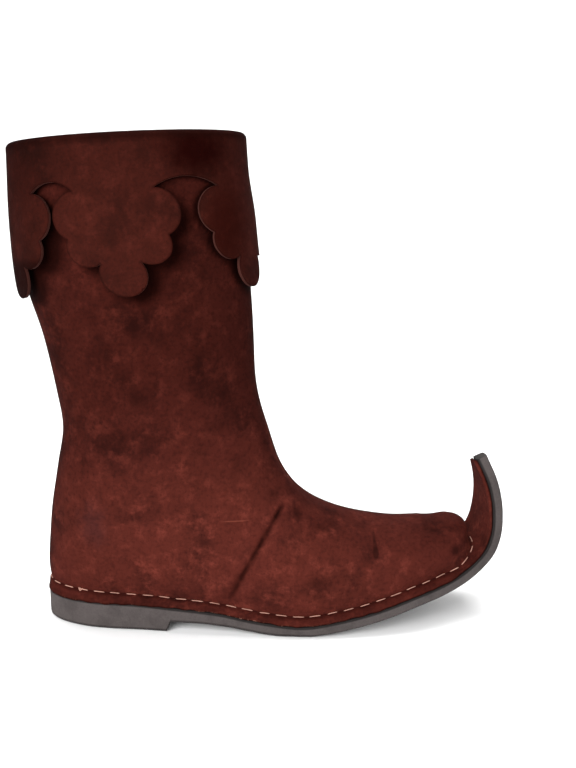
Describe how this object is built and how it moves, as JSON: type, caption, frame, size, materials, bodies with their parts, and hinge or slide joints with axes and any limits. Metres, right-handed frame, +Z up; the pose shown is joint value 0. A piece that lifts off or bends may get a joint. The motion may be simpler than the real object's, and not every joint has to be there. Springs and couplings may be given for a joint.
{
  "type": "side-lace boot",
  "caption": "Suede boot for the right foot with a scalloped turned-down cuff, side lacing, a stitched margin on a low rubber sole and a pointed toe curled upwards.",
  "frame": {"origin": "middle of the heel's tread on the floor", "axes": "+X from heel to toe, +Y towards the inner side of the foot, +Z up"},
  "size_m": [0.3299, 0.115, 0.3258],
  "materials": {
    "rubber": "matte, scuffed grey",
    "insole_leather": "plain tan",
    "nubuck": "reddish-brown nubuck, mottled",
    "gusset_leather": "dark, matte",
    "cuff_nubuck": "dark reddish-brown nubuck",
    "lace_cord": "round dark cord",
    "eyelet_metal": "satin"
  },
  "bodies": {
    "root": {"outsole": "rubber", "insole": "insole_leather", "upper": "nubuck", "tongue": "gusset_leather", "cuff": "cuff_nubuck", "lace": "lace_cord", "eyelet_front_1": "eyelet_metal", "eyelet_front_2": "eyelet_metal", "eyelet_front_3": "eyelet_metal", "eyelet_front_4": "eyelet_metal", "eyelet_front_5": "eyelet_metal", "eyelet_front_6": "eyelet_metal", "eyelet_rear_1": "eyelet_metal", "eyelet_rear_2": "eyelet_metal", "eyelet_rear_3": "eyelet_metal", "eyelet_rear_4": "eyelet_metal", "eyelet_rear_5": "eyelet_metal", "eyelet_rear_6": "eyelet_metal"}
  },
  "joints": []
}
